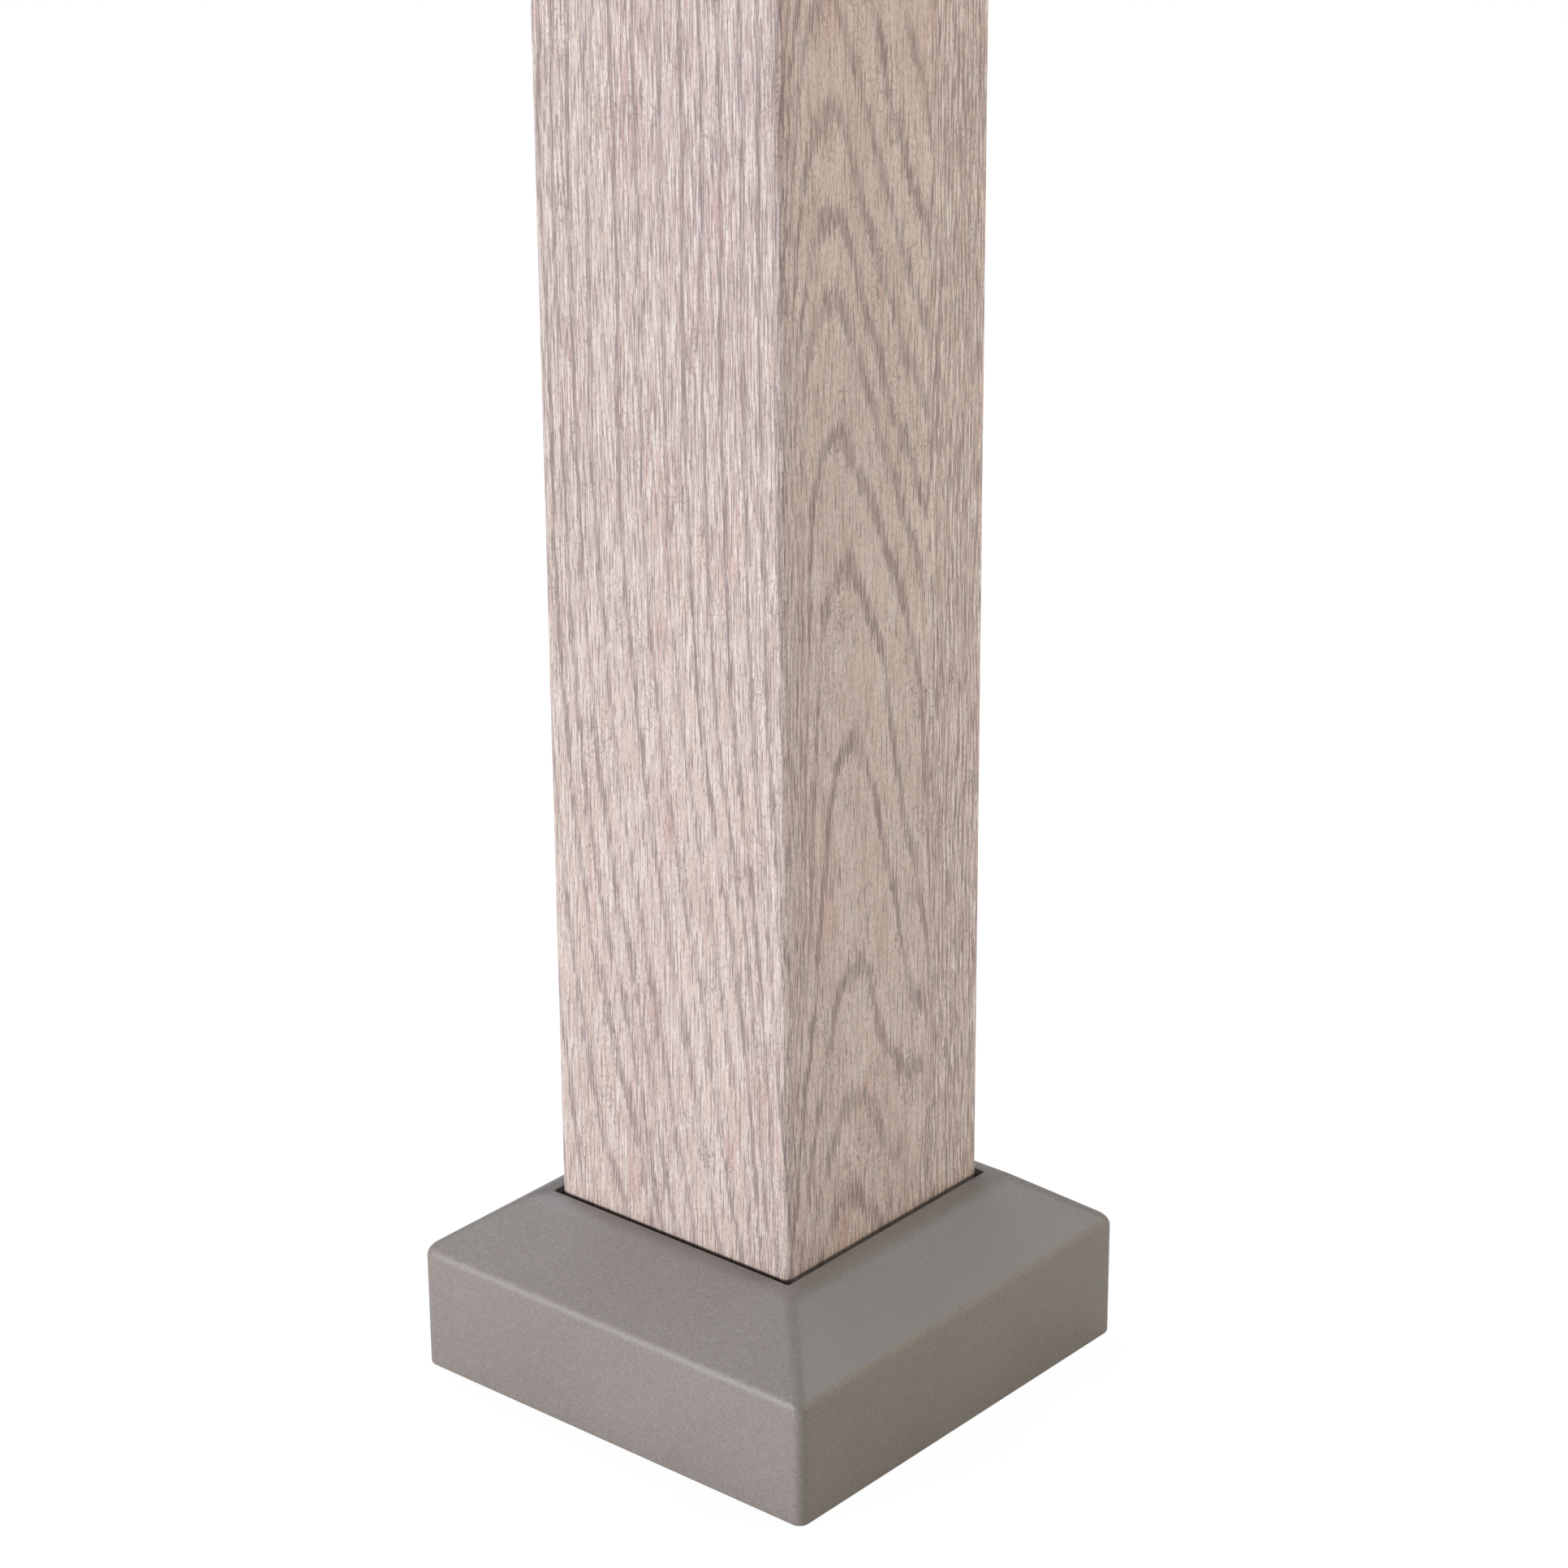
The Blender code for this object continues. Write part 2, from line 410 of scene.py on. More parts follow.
def side_rings(side, across, height):
    """The ring numbers of one of the four sides. Slow waves move every place a little first."""
    waver = 0.6 if side in SLANT_CUT_SIDES else 1.0
    across_moved = across + waver * slow_waves(across, height, width_mm=40, length_mm=160, seed=20 + side)
    height_moved = height + 2.5 * slow_waves(across, height, width_mm=30, length_mm=90, seed=30 + side)
    if side == 0:
        return slant_cut_rings(across_moved, height_moved)
    if side == 1:
        return flat_cut_rings(across_moved, height_moved, ARCH_TOPS_MM)
    mirrored = SIDE_MM - across_moved
    if side == 2:
        tops = [top - 31 for top in ARCH_TOPS_MM]
        return flat_cut_rings(mirrored, height_moved, tops, lean_in=38.0, sway=-7.0, sway_from=120.0)
    return slant_cut_rings(mirrored, height_moved, lean=0.14, lean_until=610.0)


film_places = []
for side in range(4):
    first = side * POINTS_PER_SIDE
    across = along_mm[first : first + POINTS_PER_SIDE + 1] - side * SIDE_MM
    across_grid, height_grid = np.meshgrid(across, heights_mm)
    rings = side_rings(side, across_grid, height_grid)
    rise_up, rise_across = np.gradient(rings, heights_mm, across)
    band = np.hypot(BAND_HALF_WIDTH_MM * rise_across, BAND_HALF_HEIGHT_MM * rise_up)
    stroke = np.minimum(np.hypot(STROKE_ACROSS_MM * rise_across, STROKE_UP_MM * rise_up), WIDEST_BAND)
    if side in SLANT_CUT_SIDES:
        # The streaks' upper part is busier, and so darker, than the leaning part below it, with straighter
        # edges.
        # Its tone darkens it further towards the top: painted shade, because the lamps light the upper part
        # more brightly.
        above_bend = ease(height_grid, 230, 360)
        busy = 0.7 + 0.6 * above_bend
        tone_and_painted_light = 0.94 - 0.09 * ease(height_grid, 120, 440) + 0.07 * ease(height_grid, 600, 800)
        stroke = stroke * (1.35 - 0.8 * above_bend)
    else:
        # The arches lie on a calm ground, a little busier at the foot. The straight grain is busy and pale.
        # The tone is raised over the whole side, and more towards the straight grain: partly the print's own
        # paleness, partly painted light.
        from_arches = across_grid if side == 1 else SIDE_MM - across_grid
        at_foot = ease(height_grid, 150, 90) * ease(from_arches, 70, 50)
        busy = 0.35 + 0.65 * ease(from_arches, 62, 78) + 0.3 * at_foot
        tone_and_painted_light = 1.09 + 0.11 * ease(from_arches, 60, 80)
        band = band * ARCH_BANDS_WIDER
    band = np.clip(band, NARROWEST_BAND, WIDEST_BAND)
    film_places.append((across_grid + side * SIDE_MM, height_grid, rings, band, busy, tone_and_painted_light, stroke))
print("rings on the four sides:", [round(float(np.ptp(place[2]))) for place in film_places])

# %% Build the tube
SHARP_EDGE = math.radians(40)
FILM_FINISH, MILL_FINISH, SAWN_FINISH = 0, 1, 2


def ring_of_points(bm, plan, height):
    """One row of points round the tube."""
    return [bm.verts.new((x, y, height)) for x, y in plan]


def sharpen(bm):
    """Faces are shaded smoothly over their edges, except over sharp ones."""
    for edge in bm.edges:
        edge.smooth = edge.calc_face_angle(0.0) < SHARP_EDGE


def post_form():
    """The outer skin as a fine grid, the inner skin, and the two sawn ends. Faces know their finish."""
    bm = bmesh.new()
    film_map = bm.loops.layers.uv.new("film")
    ring_map = bm.loops.layers.uv.new("rings")
    figure_and_light_map = bm.loops.layers.uv.new("figure")
    stroke_map = bm.loops.layers.uv.new("strokes")
    rows = [ring_of_points(bm, outer_plan, h * MM) for h in heights_mm]
    for side, (across, height, rings, band, busy, tone_and_painted_light, stroke) in enumerate(film_places):
        for row in range(ROWS):
            for column in range(POINTS_PER_SIDE):
                here = side * POINTS_PER_SIDE + column
                there = (here + 1) % POINTS_ROUND
                lower, upper = rows[row], rows[row + 1]
                face = bm.faces.new((lower[here], lower[there], upper[there], upper[here]))
                face.smooth = True
                face.material_index = FILM_FINISH
                corners = ((row, column), (row, column + 1), (row + 1, column + 1), (row + 1, column))
                for loop, place in zip(face.loops, corners):
                    loop[film_map].uv = (across[place] * MM, height[place] * MM)
                    loop[ring_map].uv = (rings[place], band[place])
                    loop[figure_and_light_map].uv = (busy[place], tone_and_painted_light[place])
                    loop[stroke_map].uv = (stroke[place], 0)
    bottom = ring_of_points(bm, inner_plan, 0.0)
    top = ring_of_points(bm, inner_plan, LENGTH_MM * MM)
    for here in range(POINTS_ROUND):
        there = (here + 1) % POINTS_ROUND
        inside = bm.faces.new((bottom[there], bottom[here], top[here], top[there]))
        inside.smooth = True
        inside.material_index = MILL_FINISH
        foot = bm.faces.new((rows[0][there], rows[0][here], bottom[here], bottom[there]))
        end = bm.faces.new((rows[-1][here], rows[-1][there], top[there], top[here]))
        foot.material_index = end.material_index = SAWN_FINISH
    sharpen(bm)
    return bm


def piece_from(bm, name):
    """An object of this name in the scene, made from the form."""
    mesh = bpy.data.meshes.new(name)
    bm.to_mesh(mesh)
    bm.free()
    piece = bpy.data.objects.new(name, mesh)
    bpy.context.scene.collection.objects.link(piece)
    return piece


post_piece = piece_from(post_form(), "post_with_film")
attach(post_piece, "root")
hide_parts("post")
print("post skin", len(post_piece.data.polygons), "faces")

# %% [markdown]
# ## The film: limed oak
#
# Limed oak is oak whose open pores were filled with a pale paste and wiped: a pinkish cream ground, dark
# grey-mauve pores in the ring bands, and chalky lines beside them. The film prints that picture and has a
# satin top layer, so the highlights are broad and the pores are only very slightly sunk.
#
# Nearly every layer below is noise stretched along the grain. Its two sizes are the width and the length of
# one mark on the real film, in millimetres: a pore is about 0.3 mm wide and 6 mm long, a soft streak some
# millimetres wide and as long as a finger. The finest pores on the film are thinner than a pixel of the
# picture, and no mark is drawn thinner than 0.26 mm.
#
# Noise is made on a square lattice. Stretched ten or twenty times along the grain, the lattice's rows would
# show as level rows of dashes, as if the film were woven. So the stretched pattern is turned against the
# lattice, whose rows then cross the grain at a slant and don't show.

# %% Marks that run along the grain
NOISE_TURN = 0.62  # radians, some 36 degrees


def grain_marks(tree, width_mm, length_mm, start, detail=1.0, roughness=0.5):
    """Noise whose patches have this width and length on the film. Start moves it, so that no two agree."""
    film = add_node(tree, "ShaderNodeUVMap", {"uv_map": "film"})
    stretched = add_node(
        tree,
        "ShaderNodeMapping",
        None,
        {
            "Vector": film.outputs["UV"],
            "Location": (start * 7.3, start * 3.1, 0),
            "Rotation": (0, 0, NOISE_TURN),
            "Scale": (0.5 / (width_mm * MM), 0.5 / (length_mm * MM), 1),
        },
    )
    marks = add_node(
        tree,
        "ShaderNodeTexNoise",
        {"noise_dimensions": "2D"},
        {"Vector": stretched.outputs["Vector"], "Scale": 1.0, "Detail": detail, "Roughness": roughness},
    )
    return marks.outputs["Fac"]


print("a noise patch is half a turn of the pattern, so a mark's size is half its period")

# %% The film's colours
GROUND_CREAM = linear("#DECCC3")
GROUND_BISCUIT = linear("#CAB5AA")
BLUSH = linear("#CDA79E")
DRIFT_MAUVE = linear("#C3A6AB")
CHALK = linear("#E8DCD7")
BAND_MAUVE = linear("#998688")
PORE_DARK = linear("#857370")
GAP_SHADOW = linear("#3A302D")
print("cream", [round(c, 3) for c in GROUND_CREAM[:3]])

# %% [markdown]
# ## The film's marks
#
# Most marks are made in one way: where a stretched noise is above a value there is a mark, and a bit higher
# up it has its full strength. So they fit in a table, and one loop makes them all. Each row gives the width
# and the length on the film in millimetres, the start of the pattern, the noise values where the mark begins
# and where it is full, and its strength at both. SMOOTHSTEP eases in and out, LINEAR doesn't.
#
# - fibre and ripple move the ring number from place to place, so that a band's edges end in upright strokes
# - fading weakens a ring in places along its way
# - tick is a short dark dash between the pores, chalk a line of the pale paste, hairline a long thin one
# - vein marks the few patches that have thin crooked cracks
# - blush is a warm patch not quite as long as a finger, drift a mauve one nearly as long as a hand

# %% Make the marks
MARKS = {
    "fibre": (0.36, 4.5, 1, 0.3, 0.7, -1.0, 1.0, "LINEAR"),
    "ripple": (1.4, 9, 2, 0.3, 0.7, -0.4, 0.4, "LINEAR"),
    "fading": (3.0, 20, 3, 0.34, 0.50, 0.55, 1.0, "LINEAR"),
    "tick": (0.26, 1.0, 5, 0.54, 0.68, 0.0, 1.0, "SMOOTHSTEP"),
    "blush": (8, 34, 8, 0.56, 0.78, 0.0, 0.5, "LINEAR"),
    "chalk": (0.34, 9, 9, 0.54, 0.585, 0.0, 0.85, "SMOOTHSTEP"),
    "vein": (7, 16, 11, 0.57, 0.67, 0.0, 1.0, "SMOOTHSTEP"),
    "hairline": (0.4, 24, 12, 0.56, 0.63, 0.0, 0.32, "SMOOTHSTEP"),
    "drift": (26, 130, 13, 0.42, 0.66, 0.0, 0.32, "LINEAR"),
}

film, tree, shader = new_material("limed oak film, printed, satin top layer")
mark = {}
for name, (width, length, start, begins, full, at_begin, at_full, easing) in MARKS.items():
    strength = add_node(
        tree,
        "ShaderNodeMapRange",
        {"interpolation_type": easing},
        {"Value": grain_marks(tree, width, length, start), 1: begins, 2: full, 3: at_begin, 4: at_full},
    )
    mark[name] = strength.outputs[0]
print(len(mark), "kinds of marks")

# %% Read the numbers that the mesh carries
carried = {}
for map_name in ("film", "rings", "figure", "strokes"):
    stored = add_node(tree, "ShaderNodeUVMap", {"uv_map": map_name})
    pair = add_node(tree, "ShaderNodeSeparateXYZ", None, {"Vector": stored.outputs["UV"]})
    carried[map_name] = (pair.outputs["X"], pair.outputs["Y"])
up_the_film = carried["film"][1]
ring, half_band = carried["rings"]
busy, tone_and_painted_light = carried["figure"]
stroke = carried["strokes"][0]
print("maps read:", list(carried))

# %% [markdown]
# ## The ring bands
#
# In oak a ring begins sharply, with its coarsest pores, and thins out on its outer side, which in an arch is
# the upper one. So a band is worked out from how far a place lies from the nearest whole ring number,
# counted in half bands: it starts at once on the lower side and fades slowly on the upper one. No two years
# of a tree are alike, so each ring gets a strength of its own, from its number.

# %% Find the bands
shift = add_node(tree, "ShaderNodeMath", {"operation": "ADD"}, {0: mark["fibre"], 1: mark["ripple"]})
moved = add_node(
    tree, "ShaderNodeMath", {"operation": "MULTIPLY_ADD"}, {0: shift.outputs[0], 1: stroke, 2: ring}
)
nearest = add_node(tree, "ShaderNodeMath", {"operation": "ROUND"}, {0: moved.outputs[0]})
away = add_node(
    tree, "ShaderNodeMath", {"operation": "SUBTRACT"}, {0: moved.outputs[0], 1: nearest.outputs[0]}
)
in_bands = add_node(tree, "ShaderNodeMath", {"operation": "DIVIDE"}, {0: away.outputs[0], 1: half_band})
above = add_node(
    tree,
    "ShaderNodeMapRange",
    {"interpolation_type": "SMOOTHSTEP"},
    {"Value": in_bands.outputs[0], 1: 0.5, 2: 1.5, 3: 1.0, 4: 0.0},
)
below = add_node(
    tree,
    "ShaderNodeMapRange",
    {"interpolation_type": "SMOOTHSTEP"},
    {"Value": in_bands.outputs[0], 1: -0.95, 2: -0.7, 3: 0.0, 4: 1.0},
)
band = add_node(tree, "ShaderNodeMath", {"operation": "MULTIPLY"}, {0: above.outputs[0], 1: below.outputs[0]})

lot = add_node(tree, "ShaderNodeTexWhiteNoise", {"noise_dimensions": "1D"}, {"W": nearest.outputs[0]})
strength = add_node(
    tree, "ShaderNodeMapRange", None, {"Value": lot.outputs["Value"], 1: 0.0, 2: 1.0, 3: 0.5, 4: 0.9}
)
ring_strength = add_node(
    tree, "ShaderNodeMath", {"operation": "MULTIPLY"}, {0: strength.outputs[0], 1: mark["fading"]}
)
bands = add_node(
    tree, "ShaderNodeMath", {"operation": "MULTIPLY"}, {0: band.outputs[0], 1: ring_strength.outputs[0]}
)
print("with the bands", len(tree.nodes), "nodes")

# %% [markdown]
# ## The pores
#
# Pores are upright dashes, dense in the bands and few between them. They are noise above a limit, and the
# limit sinks where there is a band, or where the print is busy. Veins are thin crooked cracks: a patchy
# noise crosses its middle value along such lines.

# %% Draw the pores and the veins
PORE_WIDTH_MM, PORE_LENGTH_MM = 0.3, 6.5
LIMIT_CALM, LIMIT_BUSY, LIMIT_IN_BAND = 0.68, 0.58, 0.46

limit_outside = add_node(
    tree, "ShaderNodeMapRange", None, {"Value": busy, 1: 0.0, 2: 1.0, 3: LIMIT_CALM, 4: LIMIT_BUSY}
)
pore_limit = add_node(
    tree,
    "ShaderNodeMapRange",
    None,
    {"Value": bands.outputs[0], 1: 0.0, 2: 1.0, 3: limit_outside.outputs[0], 4: LIMIT_IN_BAND},
)
pore_noise = grain_marks(tree, PORE_WIDTH_MM, PORE_LENGTH_MM, 4)
pore_over = add_node(
    tree, "ShaderNodeMath", {"operation": "SUBTRACT"}, {0: pore_noise, 1: pore_limit.outputs[0]}
)
pores = add_node(
    tree,
    "ShaderNodeMapRange",
    {"interpolation_type": "SMOOTHSTEP"},
    {"Value": pore_over.outputs[0], 1: 0.0, 2: 0.04, 3: 0.0, 4: 1.0},
)
crooked_noise = grain_marks(tree, 1.7, 2.6, 10, detail=2.0)
from_middle_value = add_node(tree, "ShaderNodeMath", {"operation": "SUBTRACT"}, {0: crooked_noise, 1: 0.5})
vein_away = add_node(tree, "ShaderNodeMath", {"operation": "ABSOLUTE"}, {0: from_middle_value.outputs[0]})
vein_line = add_node(
    tree,
    "ShaderNodeMapRange",
    {"interpolation_type": "SMOOTHSTEP"},
    {"Value": vein_away.outputs[0], 1: 0.008, 2: 0.030, 3: 1.0, 4: 0.0},
)
veins = add_node(
    tree, "ShaderNodeMath", {"operation": "MULTIPLY"}, {0: vein_line.outputs[0], 1: mark["vein"]}
)
print("with the pores", len(tree.nodes), "nodes")

# %% [markdown]
# ## The print's layers
#
# As in the wood, the ground comes first: two stretched noises mix cream and biscuit. Then the other colours
# go on one after the other, each with a share that says how much of it covers what lies below. At the end
# the whole print is multiplied by its tone. The tone is partly the print's own, a little paler on some sides
# and darker on others, and partly painted light and shade that evens out how brightly the lamps light each
# side and each height.

# %% Lay the ground and put the layers on it
NARROW_SHARE = 0.55

broad = grain_marks(tree, 3.5, 70, 6, detail=2.0, roughness=0.6)
narrow = grain_marks(tree, 0.6, 18, 7, detail=2.0, roughness=0.6)
streaks = add_node(
    tree, "ShaderNodeMix", {"data_type": "FLOAT"}, {"Factor": NARROW_SHARE, NUMBER_A: broad, NUMBER_B: narrow}
)
ground_share = add_node(
    tree, "ShaderNodeMapRange", None, {"Value": streaks.outputs[0], 1: 0.34, 2: 0.66, 3: 0.0, 4: 1.0}
)
chalk_busy = add_node(tree, "ShaderNodeMapRange", None, {"Value": busy, 1: 0.0, 2: 1.0, 3: 0.35, 4: 1.0})

# Each layer's colour, where it lies and how much of it goes on there
LAYERS = {
    "drift": (DRIFT_MAUVE, mark["drift"], busy),
    "blush": (BLUSH, mark["blush"], 1.0),
    "hairline": (BAND_MAUVE, mark["hairline"], busy),
    "chalk": (CHALK, mark["chalk"], chalk_busy.outputs[0]),
    "band": (BAND_MAUVE, bands.outputs[0], 0.72),
    "tick": (PORE_DARK, mark["tick"], 0.38),
    "pore": (PORE_DARK, pores.outputs[0], 0.64),
    "vein": (PORE_DARK, veins.outputs[0], 0.5),
}

colour = add_node(
    tree,
    "ShaderNodeMix",
    {"data_type": "RGBA"},
    {"Factor": ground_share.outputs[0], COLOUR_A: GROUND_BISCUIT, COLOUR_B: GROUND_CREAM},
)
shares = {}
for name, (layer_colour, where, amount) in LAYERS.items():
    share = add_node(tree, "ShaderNodeMath", {"operation": "MULTIPLY"}, {0: where, 1: amount})
    shares[name] = share.outputs[0]
    colour = add_node(
        tree,
        "ShaderNodeMix",
        {"data_type": "RGBA"},
        {"Factor": shares[name], COLOUR_A: colour.outputs[MIXED_COLOUR], COLOUR_B: layer_colour},
    )
# The tone multiplies the whole print: partly the print's own paleness, partly painted light and shade.
colour = add_node(
    tree,
    "ShaderNodeMix",
    {"data_type": "RGBA", "blend_type": "MULTIPLY"},
    {"Factor": 1.0, COLOUR_A: colour.outputs[MIXED_COLOUR], COLOUR_B: tone_and_painted_light},
)
print("layers:", list(shares))

# %% [markdown]
# ## The gap's shadow, and the shine
#
# Where the post goes into the cover, the gap of 1.8 mm is dark. Seen from the side its opening is thinner
# than a pixel, so the shadow is also laid on the film, up to the height of the cover's lip. The satin top
# layer is a clear lacquer with an IOR of 1.49. It is a little rougher over the pores, and sinks into them
# by some hundredths of a millimetre.

# %% Finish the film
GAP_TOP_MM = 63.9
GAP_FADE_MM = 0.2
GAP_SHARE = 0.7
PORE_DEPTH_MM = 0.04

gap_share = add_node(
    tree,
    "ShaderNodeMapRange",
    {"interpolation_type": "SMOOTHSTEP"},
    {"Value": up_the_film, 1: GAP_TOP_MM * MM, 2: (GAP_TOP_MM + GAP_FADE_MM) * MM, 3: GAP_SHARE, 4: 0.0},
)
colour = add_node(
    tree,
    "ShaderNodeMix",
    {"data_type": "RGBA"},
    {"Factor": gap_share.outputs[0], COLOUR_A: colour.outputs[MIXED_COLOUR], COLOUR_B: GAP_SHADOW},
)
dull = add_node(
    tree, "ShaderNodeMapRange", None, {"Value": pores.outputs[0], 1: 0.0, 2: 1.0, 3: 0.46, 4: 0.60}
)
depth = add_node(tree, "ShaderNodeMath", {"operation": "ADD"}, {0: pores.outputs[0], 1: shares["tick"]})
relief = add_node(
    tree,
    "ShaderNodeBump",
    {"invert": True},
    {"Strength": 0.6, "Distance": PORE_DEPTH_MM * MM, "Height": depth.outputs[0]},
)
tree.links.new(colour.outputs[MIXED_COLOUR], shader.inputs["Base Color"])
tree.links.new(dull.outputs[0], shader.inputs["Roughness"])
tree.links.new(relief.outputs["Normal"], shader.inputs["Normal"])
shader.inputs["IOR"].default_value = 1.49
post_piece.data.materials.append(film)
print("film:", len(tree.nodes), "nodes")

# %% [markdown]
# ## Bare aluminium inside the post
#
# Inside, the extrusion keeps its mill finish: bright grey metal with faint lines that the die drew along
# it. The ends are sawn, and the saw leaves shallow arcs. Both are the same metal, so they differ only in
# the pattern that breaks up the shine. The real marks of die and saw are finer than half a millimetre. They
# are drawn 0.6 and 1.2 mm wide so that they show.

# %% Mix the mill finish
ALUMINIUM = linear("#D2D4D6")
DIE_LINE_MM = 0.6
DIE_LINE_DEPTH_MM = 0.02

mill, tree, shader = new_material("aluminium, mill finish, extruded")
shader.inputs["Base Color"].default_value = ALUMINIUM
shader.inputs["Metallic"].default_value = 1.0
places = add_node(tree, "ShaderNodeTexCoord")
across_scale = 0.5 / (DIE_LINE_MM * MM)
stretched = add_node(
    tree,
    "ShaderNodeMapping",
    None,
    {"Vector": places.outputs["Object"], "Scale": (across_scale, across_scale, 3)},
)
die_lines = add_node(
    tree, "ShaderNodeTexNoise", None, {"Vector": stretched.outputs["Vector"], "Scale": 1.0, "Detail": 2.0}
)
dull = add_node(
    tree, "ShaderNodeMapRange", None, {"Value": die_lines.outputs["Fac"], 1: 0.3, 2: 0.7, 3: 0.30, 4: 0.50}
)
scored = add_node(
    tree,
    "ShaderNodeBump",
    None,
    {"Strength": 0.4, "Distance": DIE_LINE_DEPTH_MM * MM, "Height": die_lines.outputs["Fac"]},
)
tree.links.new(dull.outputs[0], shader.inputs["Roughness"])
tree.links.new(scored.outputs["Normal"], shader.inputs["Normal"])
post_piece.data.materials.append(mill)
print("mill finish:", len(tree.nodes), "nodes")

# %% Mix the sawn finish
SAW_MARK_MM = 1.2
SAW_MARK_DEPTH_MM = 0.03
SAW_CENTRE_MM = (-190.0, -150.0)

sawn, tree, shader = new_material("aluminium, sawn")
shader.inputs["Base Color"].default_value = ALUMINIUM
shader.inputs["Metallic"].default_value = 1.0
places = add_node(tree, "ShaderNodeTexCoord")
saw_centre = (SAW_CENTRE_MM[0] * MM, SAW_CENTRE_MM[1] * MM, 0)
from_saw = add_node(
    tree, "ShaderNodeVectorMath", {"operation": "DISTANCE"}, {0: places.outputs["Object"], 1: saw_centre}
)
turns = add_node(
    tree,
    "ShaderNodeMath",
    {"operation": "MULTIPLY"},
    {0: from_saw.outputs["Value"], 1: 2 * math.pi / (SAW_MARK_MM * MM)},
)
arcs = add_node(tree, "ShaderNodeMath", {"operation": "SINE"}, {0: turns.outputs[0]})
dull = add_node(
    tree, "ShaderNodeMapRange", None, {"Value": arcs.outputs[0], 1: -1.0, 2: 1.0, 3: 0.28, 4: 0.48}
)
cut = add_node(
    tree,
    "ShaderNodeBump",
    None,
    {"Strength": 0.5, "Distance": SAW_MARK_DEPTH_MM * MM, "Height": arcs.outputs[0]},
)
tree.links.new(dull.outputs[0], shader.inputs["Roughness"])
tree.links.new(cut.outputs["Normal"], shader.inputs["Normal"])
post_piece.data.materials.append(sawn)
print("materials on the post:", [m.name for m in post_piece.data.materials])

# %% [markdown]
# ## The base cover
#
# The cover is one moulded plastic shell: upright walls, sides that slope in at about 36 degrees, a generous
# round into the narrow land beside the post, and a square opening. Bevelled edges would give the form. A
# section swept round the square gives it too, and every round then has as many steps as it needs and stays
# perfectly even. The section is a list of points, each a half width and a height, made from straight
# stretches and true arcs.

# %% Sizes of the cover
COVER_HALF = (cover_high.x - cover_low.x) / 2
WALL_TOP = 44.0 * MM
SLOPE_RISE = 20.0 * MM
SHELL = 3.0 * MM
LAND = 4.5 * MM
CLEARANCE = 1.8 * MM
SHOULDER_RADIUS = 5.0 * MM
CROWN_RADIUS = 16.0 * MM
PLAN_RADIUS = 4.0 * MM
OPENING_RADIUS = 1.0 * MM
FOOT_RADIUS = 1.1 * MM
LIP_RADIUS = 0.3 * MM

opening_half = SIDE_MM * MM / 2 + CLEARANCE
slope = math.atan2(SLOPE_RISE, COVER_HALF - opening_half - LAND)
print("slope", round(math.degrees(slope), 1), "degrees, opening", round(2 * opening_half / MM, 1), "mm")

# %% The section through one side
ARC_STEPS = 10


def rounded_path(corners):
    """A path round corners, each a half width, a height and a radius. The first and last only aim it."""
    path = []
    for before, corner, after in zip(corners, corners[1:], corners[2:]):
        here = Vector(corner[:2])
        backwards = (Vector(before[:2]) - here).normalized()
        onwards = (Vector(after[:2]) - here).normalized()
        half_angle = backwards.angle(onwards) / 2
        reach = corner[2] / math.tan(half_angle)
        centre = here + (backwards + onwards).normalized() * corner[2] / math.sin(half_angle)
        first = here + backwards * reach - centre
        last = here + onwards * reach - centre
        sweep = first.angle_signed(last)
        for step in range(ARC_STEPS + 1):
            path.append(tuple(centre + Matrix.Rotation(-sweep * step / ARC_STEPS, 2) @ first))
    return path


roof = WALL_TOP + SLOPE_RISE
inner_half = COVER_HALF - SHELL
inner_wall_top = WALL_TOP + (SHELL * math.sin(slope) - SHELL) / math.cos(slope)
inner_land_edge = inner_half - (roof - SHELL - inner_wall_top) / math.tan(slope)
outer_path = rounded_path(
    [
        (0, roof, 0),
        (opening_half + LAND, roof, CROWN_RADIUS),
        (COVER_HALF, WALL_TOP, SHOULDER_RADIUS),
        (COVER_HALF, 0, FOOT_RADIUS),
        (inner_half, 0, 0),
    ]
)
inner_path = rounded_path(
    [
        (COVER_HALF, 0, 0),
        (inner_half, 0, FOOT_RADIUS),
        (inner_half, inner_wall_top, SHOULDER_RADIUS - SHELL),
        (inner_land_edge, roof - SHELL, CROWN_RADIUS - SHELL),
        (0, roof - SHELL, 0),
    ]
)
print("section:", len(outer_path) + len(inner_path), "points")

# %% Sweep the section round the square
SIDE_STEPS = 16
COVER_CORNER_STEPS = 12


def square_distance(x, y, radius):
    """The half width of the square, with corners of this radius, that passes through a point."""
    long, short = max(abs(x), abs(y)), min(abs(x), abs(y))
    if short <= long - radius:
        return long
    both = long + short
    return radius + (both - math.sqrt(both**2 - 2 * (long**2 + short**2 - radius**2))) / 2


roof_points = sorted(point for point in outer_path if point[1] > WALL_TOP - SHOULDER_RADIUS / 2)
roof_halves, roof_heights = zip(*roof_points)


def roof_ring(half_width):
    """A ring on the roof. Its corners tighten towards the opening's own, and keep to the roof's surface."""
    nearing = 1 - float(ease(half_width, opening_half, opening_half + 1.5 * LAND))
    radius = PLAN_RADIUS + (OPENING_RADIUS - PLAN_RADIUS) * nearing
    plan = rounded_square(half_width, radius, SIDE_STEPS, COVER_CORNER_STEPS)
    reach = [square_distance(x, y, PLAN_RADIUS) for x, y in plan]
    return [(x, y, float(np.interp(r, roof_halves, roof_heights))) for (x, y), r in zip(plan, reach)]


def level_ring(half_width, height, radius):
    """A ring that lies level, as on the walls and at the foot."""
    plan = rounded_square(half_width, radius, SIDE_STEPS, COVER_CORNER_STEPS)
    return [(x, y, height) for x, y in plan]


